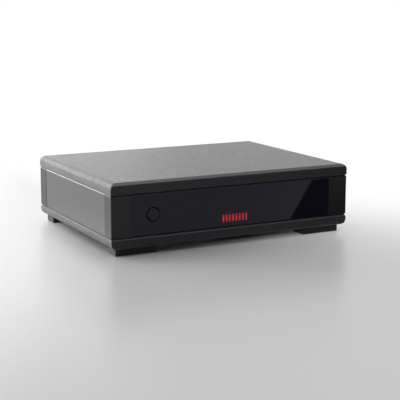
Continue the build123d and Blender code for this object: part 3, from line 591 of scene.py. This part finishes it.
tinned = add_node(tree, "ShaderNodeMix", {
    "Factor": pads,
    6: resist,
    7: linear("#b9bab6"),
}, data_type="RGBA").outputs[2]
facing = add_node(tree, "ShaderNodeNewGeometry").outputs["Normal"]
split = add_node(tree, "ShaderNodeSeparateXYZ", {0: facing})
flat = add_node(tree, "ShaderNodeMath", {0: split.outputs["Z"]}, operation="ABSOLUTE")
upright = add_node(tree, "ShaderNodeMath", {0: split.outputs["Y"]}, operation="ABSOLUTE")
larger = add_node(tree, "ShaderNodeMath", {0: flat, 1: upright}, operation="MAXIMUM")
broad = add_node(tree, "ShaderNodeMath", {0: larger, 1: broad_tilt}, operation="GREATER_THAN")
colour = add_node(tree, "ShaderNodeMix", {
    "Factor": broad,
    6: linear("#b59a58"),
    7: tinned,
}, data_type="RGBA").outputs[2]
relief = add_node(tree, "ShaderNodeBump", {
    "Height": tracks,
    "Strength": 0.5,
    "Distance": track_height,
})
surface = add_node(tree, "ShaderNodeBsdfPrincipled", {
    "Base Color": colour,
    "Roughness": 0.32,
    "IOR": 1.55,
    "Metallic": pads,
    "Normal": relief,
})
add_node(tree, "ShaderNodeOutputMaterial", {"Surface": surface})
put_on(laminate, "main_board", "front_board")

# ---- Pillars and screws ----
# The board stands on turned brass pillars, which the tool leaves with fine rings. The screws are
# steel, zinc plated: grey, with a slight blue.
brass = grained_finish(
    "turned brass", "#b08d45", "#d0ac5e", roughness=(0.22, 0.34), grain=(0.0006, 0.0006, 0.00015),
    relief_height=0.00002, edge=0.0002, shader={"Metallic": 1.0},
)
put_on(brass, "board_pillars")
zinc = grained_finish(
    "zinc plated steel", "#9fa3a8", "#c6c9cd", roughness=(0.26, 0.4), grain=0.0008,
    relief_height=0.00002, edge=0.0002, shader={"Metallic": 1.0},
)
put_on(zinc, "pan_screws", "case_screws")

# ---- Phono sockets ----
# Turned brass shells and contacts with a thin gold plating. The insulators are moulded: white for
# the left channel and red for the right.
# The plating is bright, and the fine rings of the turning show through it.
gold = grained_finish(
    "gold plated brass", "#d8a848", "#efc56a", roughness=(0.16, 0.26),
    grain=(0.003, 0.00012, 0.003), relief_height=0.000015, edge=0.0002, shader={"Metallic": 1.0},
)
put_on(gold, *[name for name in nodes if name.startswith(("socket_shell", "socket_contact"))])
# PBT is opaque and has a soft shine.
ivory = grained_finish(
    "white moulded PBT", "#dcdbd5", "#eceae4", roughness=(0.3, 0.42), grain=0.0012,
    relief_height=0.00003, edge=0.0003, shader={"IOR": 1.55},
)
put_on(ivory, "socket_insulator_input_left", "socket_insulator_output_left")
scarlet = grained_finish(
    "red moulded PBT", "#a5141b", "#c21f25", roughness=(0.3, 0.42), grain=0.0012,
    relief_height=0.00003, edge=0.0003, shader={"IOR": 1.55},
)
put_on(scarlet, "socket_insulator_input_right", "socket_insulator_output_right")

# ---- Power inlet pin and ground terminal ----
# The pin, the stud, its nut and the washer are nickel plated, warm grey and bright. The stud has a
# rolled thread, drawn as ridges in its finish. The thumb nut is gold plated like the sockets, for a
# good contact.
thread_pitch = 0.0007
thread_height = 0.0003
plating_cloud = 0.0012
nickel, tree = new_finish("nickel plated thread")
place = add_node(tree, "ShaderNodeTexCoord").outputs["Object"]
thread = add_node(tree, "ShaderNodeTexWave", {
    "Vector": place,
    "Scale": math.pi / 10 / thread_pitch,  # a wave of scale s repeats every pi / 10 / s metres
    "Distortion": 0.0,
}, bands_direction="Y", wave_profile="TRI").outputs["Fac"]
cloud = add_node(tree, "ShaderNodeTexNoise", {
    "Vector": place,
    "Scale": 1 / plating_cloud,
    "Detail": 2.0,
}).outputs["Fac"]
tint = add_node(tree, "ShaderNodeMix", {
    "Factor": cloud,
    6: linear("#b5b1a8"),
    7: linear("#d2cec5"),
}, data_type="RGBA").outputs[2]
relief = add_node(tree, "ShaderNodeBump", {
    "Height": thread,
    "Strength": 0.9,
    "Distance": thread_height,
})
surface = add_node(tree, "ShaderNodeBsdfPrincipled", {
    "Base Color": tint,
    "Metallic": 1.0,
    "Roughness": 0.24,
    "Normal": relief,
})
add_node(tree, "ShaderNodeOutputMaterial", {"Surface": surface})
put_on(nickel, "ground_stud")
bright = grained_finish(
    "bright nickel plating", "#b8b4ab", "#d4d0c8", roughness=(0.18, 0.3), grain=0.002,
    relief_height=0.000015, edge=0.0002, shader={"Metallic": 1.0},
)
put_on(bright, "ground_nut", "ground_washer", "power_inlet_pin")
put_on(gold, "ground_thumb_nut")

# ---- Loading switches ----
# Two banks of small slide switches: moulded blue housings, each with four white sliders that stand
# a little proud of its face. Both plastics have the soft shine of small mouldings.
bank = grained_finish(
    "blue moulded switch housing", "#16356e", "#1d4285", roughness=(0.36, 0.48), grain=0.001,
    relief_height=0.00003, edge=0.0003, shader={"IOR": 1.53},
)
put_on(bank, "loading_bank_left", "loading_bank_right")
slider = grained_finish(
    "white moulded slider", "#d9d8d2", "#eae9e3", roughness=(0.3, 0.45), grain=0.0008,
    relief_height=0.00002, edge=0.0001, shader={"IOR": 1.53},
)
put_on(slider, *[name for name in nodes if name.startswith("loading_slider")])

# ---- Capacitors ----
# Two reservoir cans in printed shrink sleeves: the stripe marks the negative lead, and the bare
# aluminium top shows inside the sleeve's rim. The film capacitors are cast in dull red box cases.
can_low, can_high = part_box("reservoir_capacitors")
can_x = (can_low[0] + can_high[0]) / 2
can_radius = (can_high[0] - can_low[0]) / 2
can_y = can_low[1] + can_radius
can_pitch = can_high[1] - can_low[1] - 2 * can_radius
can_top = 0.0388
can_rim = 0.0064
stripe_edge = -0.0066  # across a can, the stripe lies beyond this, and its dashes beyond the next
dash_edge = -0.0077
dash_pitch = 0.004
dash_share = 0.9
can_finish, tree = new_finish("printed shrink sleeve and aluminium can")
place = add_node(tree, "ShaderNodeTexCoord").outputs["Object"]
split = add_node(tree, "ShaderNodeSeparateXYZ", {0: place})
across = add_node(tree, "ShaderNodeMath", {0: split.outputs["X"], 1: can_x}, operation="SUBTRACT")
along = add_node(tree, "ShaderNodeMath", {
    0: split.outputs["Y"],
    1: can_y - can_pitch / 2,
}, operation="SUBTRACT")
one_can = add_node(tree, "ShaderNodeMath", {0: along, 1: can_pitch}, operation="MODULO")
beside = add_node(tree, "ShaderNodeMath", {0: one_can, 1: can_pitch / 2}, operation="SUBTRACT")
spoke = add_node(tree, "ShaderNodeCombineXYZ", {"X": across, "Y": beside})
radius = add_node(tree, "ShaderNodeVectorMath", {0: spoke}, operation="LENGTH").outputs["Value"]
inside = add_node(tree, "ShaderNodeMath", {0: radius, 1: can_rim}, operation="LESS_THAN")
high = add_node(tree, "ShaderNodeMath", {
    0: split.outputs["Z"],
    1: can_top,
}, operation="GREATER_THAN")
bare = add_node(tree, "ShaderNodeMath", {0: inside, 1: high}, operation="MULTIPLY")
stripe = add_node(tree, "ShaderNodeMath", {0: across, 1: stripe_edge}, operation="LESS_THAN")
dash = add_node(tree, "ShaderNodeTexWave", {
    "Vector": place,
    "Scale": math.pi / 10 / dash_pitch,
}, bands_direction="Z").outputs["Fac"]
gap = add_node(tree, "ShaderNodeMath", {0: dash, 1: dash_share}, operation="LESS_THAN")
narrow = add_node(tree, "ShaderNodeMath", {0: across, 1: dash_edge}, operation="GREATER_THAN")
printed = add_node(tree, "ShaderNodeMath", {0: gap, 1: narrow}, operation="MAXIMUM")
band = add_node(tree, "ShaderNodeMath", {0: stripe, 1: printed}, operation="MULTIPLY")
sleeve = add_node(tree, "ShaderNodeMix", {
    "Factor": band,
    6: linear("#14161c"),
    7: linear("#c9c3a6"),
}, data_type="RGBA").outputs[2]
colour = add_node(tree, "ShaderNodeMix", {
    "Factor": bare,
    6: sleeve,
    7: linear("#c3c5c8"),
}, data_type="RGBA").outputs[2]
surface = add_node(tree, "ShaderNodeBsdfPrincipled", {
    "Base Color": colour,
    "Metallic": bare,
    "Roughness": 0.3,
    "IOR": 1.54,
})
add_node(tree, "ShaderNodeOutputMaterial", {"Surface": surface})
put_on(can_finish, "reservoir_capacitors")
film_case = grained_finish(
    "red film capacitor case", "#8d1a1c", "#a62426", roughness=(0.34, 0.5), grain=0.0016,
    relief_height=0.00004, edge=0.0004, shader={"IOR": 1.54},
)
put_on(film_case, "film_capacitors")

# ---- Resistors ----
# Metal-film resistors: pale blue lacquer over a body with bulged ends, five colour bands, and
# tinned leads bent down into the board. They stand for the plain bodies of the model.
column_pitch = 0.015
row_pitch = 0.005
resistor_x, resistor_y = np.array(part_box("resistors")).mean(axis=0)[:2]
resistor_columns = resistor_x + column_pitch * np.arange(-1, 2)
resistor_rows = resistor_y + row_pitch * np.arange(-2, 3)
resistor_lift = 0.0016
resistor_z = board_top + resistor_lift
body_half = 0.00325
body_radius = 0.0012
body_sides = 16
body_rings = 25
waist = 0.8  # the radius of the body's middle, as a share of the full one
waist_end = 0.5  # where the bulge starts, as a share of the half body
bulge_width = 0.2
dome_start = 0.8
dome_width = 0.2
lead_radius = 0.0003
lead_half = 0.0047
lead_sides = 8
lead_tip = 0.00001  # the last bit of a lead, which closes its end
bend_radius = 0.0009
bend_rings = 6
square_to_row = (0, 1, 0)
base_blue = "#86b3c9"
bands_painted = (  # where each colour starts, as a share of the body's length
    (0.0, base_blue), (0.12, "#7a2f1c"), (0.20, base_blue), (0.33, "#101010"), (0.39, base_blue),
    (0.47, "#101010"), (0.53, base_blue), (0.61, "#b8321f"), (0.67, base_blue), (0.80, "#7a2f1c"),
    (0.88, base_blue),
)


def copies(shape, places):
    """One array of points and one of faces for a shape that is repeated at several places."""
    points, faces = shape
    starts = np.arange(len(places))[:, None, None] * len(points)
    all_points = (points + places[:, None, :]).reshape(-1, 3)
    return all_points, (faces + starts).reshape(-1, faces.shape[1])


# The body is a tube of its waist's radius in the middle, which swells evenly to the full radius and
# then rounds off to each end.
share = np.linspace(-1, 1, body_rings)
swell = waist + (1 - waist) * np.clip((np.abs(share) - waist_end) / bulge_width, 0, 1)
round_off = np.clip((np.abs(share) - dome_start) / dome_width, 0, 1)
ends = np.sqrt(np.clip(1 - round_off ** 3, 0, 1))
body_path = np.stack([share * body_half, 0 * share, 0 * share], -1)
body_shape = tube(body_path, body_radius * swell * ends, body_sides, square_to_row)
# A lead runs straight out of each end, turns down round a quarter circle and ends on the board.
arc = np.linspace(0, np.pi / 2, bend_rings)
drop = board_top - resistor_z
half_lead = np.array([
    [0.0, 0.0],
    *np.stack([lead_half - bend_radius * (1 - np.sin(arc)), bend_radius * (np.cos(arc) - 1)], -1),
    [lead_half, drop],
    [lead_half, drop - lead_tip],
])
line = np.concatenate([half_lead[:0:-1] * [-1, 1], half_lead])
lead_path = np.stack([line[:, 0], 0 * line[:, 0], line[:, 1]], -1)
lead_radii = [0, *[lead_radius] * (len(line) - 2), 0]
lead_shape = tube(lead_path, lead_radii, lead_sides, square_to_row)
column, row = np.meshgrid(resistor_columns, resistor_rows)
places = np.stack([column.ravel(), row.ravel(), np.full(column.size, resistor_z)], -1)
body_points, body_faces = copies(body_shape, places)
lead_points, lead_faces = copies(lead_shape, places)

# Dipping leaves the lacquer smooth and glossy, with sharp-edged bands.
lacquer, tree = new_finish("pale blue resistor lacquer with bands")
place = add_node(tree, "ShaderNodeTexCoord").outputs["Object"]
split = add_node(tree, "ShaderNodeSeparateXYZ", {0: place})
shifted = add_node(tree, "ShaderNodeMath", {
    0: split.outputs["X"],
    1: resistor_columns[0] - column_pitch / 2,
}, operation="SUBTRACT")
one_column = add_node(tree, "ShaderNodeMath", {0: shifted, 1: column_pitch}, operation="MODULO")
along = add_node(tree, "ShaderNodeMapRange", {
    "Value": one_column,
    "From Min": column_pitch / 2 - body_half,
    "From Max": column_pitch / 2 + body_half,
})
bands = add_node(tree, "ShaderNodeValToRGB", {"Fac": along})
bands.color_ramp.interpolation = "CONSTANT"
stops = bands.color_ramp.elements
for index, (start, shade) in enumerate(bands_painted):
    stop = stops[0] if index == 0 else stops.new(start)
    stop.color = linear(shade)
stops.remove(stops[-1])
surface = add_node(tree, "ShaderNodeBsdfPrincipled", {
    "Base Color": bands.outputs["Color"],
    "Roughness": 0.28,
    "IOR": 1.5,
})
add_node(tree, "ShaderNodeOutputMaterial", {"Surface": surface})
# Tinning gives the leads a soft grey shine.
tin = grained_finish(
    "tinned copper wire", "#a9aaac", "#c4c5c7", roughness=(0.25, 0.4), grain=0.0005,
    relief_height=0.00001, shader={"Metallic": 1.0},
)
bodies = new_piece("resistor_bodies", body_points, body_faces.tolist(), lacquer)
leads = new_piece("resistor_leads", lead_points, lead_faces.tolist(), tin)
for piece in (bodies, leads):
    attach(piece, "case")
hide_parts("resistors")

# ---- Amplifier chips, transistors and regulators ----
# Black epoxy bodies moulded round tinned frames, dull and faintly gritty. What stands out of a
# body, its legs or its tab, is bare metal. The legs are soldered to the board.
grit_size = 0.0007
grit_height = 0.00004
epoxy_parts = (  # node, finish, and the axis, middle and half length of the epoxy bodies
    ("amplifier_chips", "black epoxy chip with tinned legs", "X", 0.00305, 0.00321),
    ("transistors", "black epoxy transistor with tinned legs", "Z", 0.01955, 0.00241),
    ("regulators", "black epoxy regulator with its tab", "Z", 0.02165, 0.00451),
)
for part, name, axis, middle, half in epoxy_parts:
    epoxy_finish, tree = new_finish(name)
    place = add_node(tree, "ShaderNodeTexCoord").outputs["Object"]
    split = add_node(tree, "ShaderNodeSeparateXYZ", {0: place})
    offset = add_node(tree, "ShaderNodeMath", {
        0: split.outputs[axis],
        1: middle,
    }, operation="SUBTRACT")
    reach = add_node(tree, "ShaderNodeMath", {0: offset}, operation="ABSOLUTE")
    metal = add_node(tree, "ShaderNodeMath", {0: reach, 1: half}, operation="GREATER_THAN")
    grit = add_node(tree, "ShaderNodeTexNoise", {
        "Vector": place,
        "Scale": 1 / grit_size,
        "Detail": 2.0,
    }).outputs["Fac"]
    epoxy = add_node(tree, "ShaderNodeMix", {
        "Factor": grit,
        6: linear("#121213"),
        7: linear("#242425"),
    }, data_type="RGBA").outputs[2]
    colour = add_node(tree, "ShaderNodeMix", {
        "Factor": metal,
        6: epoxy,
        7: linear("#b9babc"),
    }, data_type="RGBA").outputs[2]
    relief = add_node(tree, "ShaderNodeBump", {
        "Height": grit,
        "Strength": 0.5,
        "Distance": grit_height,
    })
    surface = add_node(tree, "ShaderNodeBsdfPrincipled", {
        "Base Color": colour,
        "Metallic": metal,
        "Roughness": 0.42,
        "IOR": 1.55,
        "Normal": relief,
    })
    add_node(tree, "ShaderNodeOutputMaterial", {"Surface": surface})
    put_on(epoxy_finish, part)

# ---- Heat sinks ----
# Extruded aluminium, anodised black, one behind each regulator. The fine lines of the die run up
# the fins and give them a streaky dark shine.
anodised = grained_finish(
    "black anodised aluminium", "#17181a", "#2a2b2e", roughness=(0.34, 0.5),
    grain=(0.0005, 0.0005, 0.02), relief_height=0.00003, edge=0.0002, shader={"Metallic": 1.0},
)
put_on(anodised, "heat_sinks")

# ---- Marks on the rear panel ----
# Plain legends in matt white ink, pad-printed on the moulding: what each socket and each switch is
# for. They stand off it by the thickness of the ink.
panel_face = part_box("rear_panel")[1][1]
ink_height = 0.00003
words = [  # text, letter size, and its middle along X and Z
    ("IN", 0.0028, -0.05005, 0.0352), ("L", 0.0028, -0.05905, 0.0336),
    ("R", 0.0028, -0.04105, 0.0336), ("OUT", 0.0028, 0.03583, 0.0352),
    ("L", 0.0028, 0.02683, 0.0336), ("R", 0.0028, 0.04483, 0.0336),
    ("DC", 0.0028, 0.06225, 0.0290), ("GND", 0.0024, -0.02343, 0.0336),
]
bank_middles = (-0.00796, 0.00836)
slider_pitch = 0.00254
sliders_per_bank = 4
number_size = 0.0018
number_z = 0.0232
for bank_x in bank_middles:
    for index in range(sliders_per_bank):
        number_x = bank_x + (index - (sliders_per_bank - 1) / 2) * slider_pitch
        words.append((str(index + 1), number_size, number_x, number_z))


def printed_word(text, size, x, z):
    """Points and faces of a word on the rear panel: the letters' own X and Y become -X and Z."""
    curve = bpy.data.curves.new("word", "FONT")
    curve.body = text
    curve.size = size
    curve.align_x = "CENTER"
    curve.align_y = "CENTER"
    carrier = bpy.data.objects.new("word", curve)
    letters = bpy.data.meshes.new_from_object(carrier)
    flat = np.empty(3 * len(letters.vertices))
    letters.vertices.foreach_get("co", flat)
    flat = flat.reshape(-1, 3)
    ink_y = np.full(len(flat), panel_face + ink_height)
    faces = [list(polygon.vertices) for polygon in letters.polygons]
    bpy.data.objects.remove(carrier)
    return np.stack([x - flat[:, 0], ink_y, z + flat[:, 1]], -1), faces


points, faces, start = [], [], 0
for word in words:
    word_points, word_faces = printed_word(*word)
    points.append(word_points)
    faces += [[start + number for number in face] for face in word_faces]
    start += len(word_points)
ink = grained_finish(
    "white pad-printed ink", "#c9c9c6", "#e3e3e0", roughness=(0.5, 0.6), grain=0.0004,
    relief_height=0.00001, shader={"IOR": 1.5},
)
marks = new_piece("rear_marks", np.concatenate(points), faces, ink, smooth=False)
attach(marks, "case")
